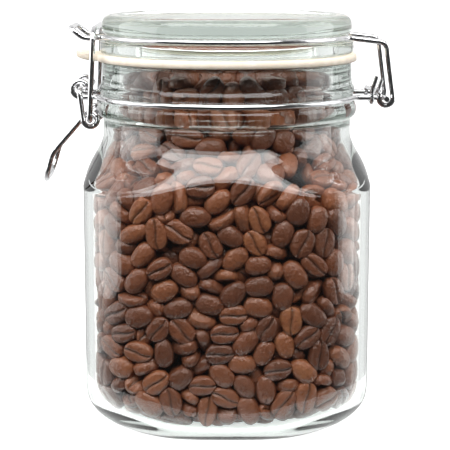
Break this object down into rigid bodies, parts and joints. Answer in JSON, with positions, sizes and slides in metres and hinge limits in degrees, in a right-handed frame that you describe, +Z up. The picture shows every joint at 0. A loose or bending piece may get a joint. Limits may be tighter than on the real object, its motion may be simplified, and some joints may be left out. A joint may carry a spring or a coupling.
{
  "type": "food canister",
  "caption": "Rounded-square clear glass storage jar with a round neck, glass lid, rubber seal with a pull tab, and a bent-wire hinge and clip closure.",
  "frame": {"origin": "middle of the flat base, on the surface the jar stands on", "axes": "+Z up, +X towards the lid's hinge, -X towards the latch, so the two halves either side of Y = 0 mirror each other apart from the tie wire"},
  "size_m": [0.1333, 0.107, 0.1552],
  "materials": {
    "jar_glass": "clear polished",
    "lid_glass": "clear polished, slightly green",
    "rubber": "matt",
    "wire": "polished"
  },
  "bodies": {
    "jar": {"glass_jar": "jar_glass", "neck_wire": "wire", "hinge_tie_wire": "wire"},
    "lid": {"glass_lid": "lid_glass", "rubber_seal": "rubber", "lid_wire": "wire"},
    "lever": {"latch_lever": "wire"},
    "latch_loop": {"latch_loop": "wire"}
  },
  "joints": [
    {"name": "lid_hinge", "type": "hinge", "parent": "jar", "child": "lid", "pos_m": [0.0596, 0, 0.1244], "axis": [0, 1, 0], "range_deg": [0, 115]},
    {"name": "lever_pivot", "type": "hinge", "parent": "jar", "child": "lever", "pos_m": [-0.0553, 0, 0.1274], "axis": [0, 1, 0], "range_deg": [0, 120]},
    {"name": "loop_pivot", "type": "hinge", "parent": "lever", "child": "latch_loop", "pos_m": [-0.0513, 0, 0.1163], "axis": [0, 1, 0], "range_deg": [-100.2, 0]}
  ],
  "couplings": [
    {"joint": "loop_pivot", "follows": "lever_pivot", "ratio": -0.8333}
  ]
}
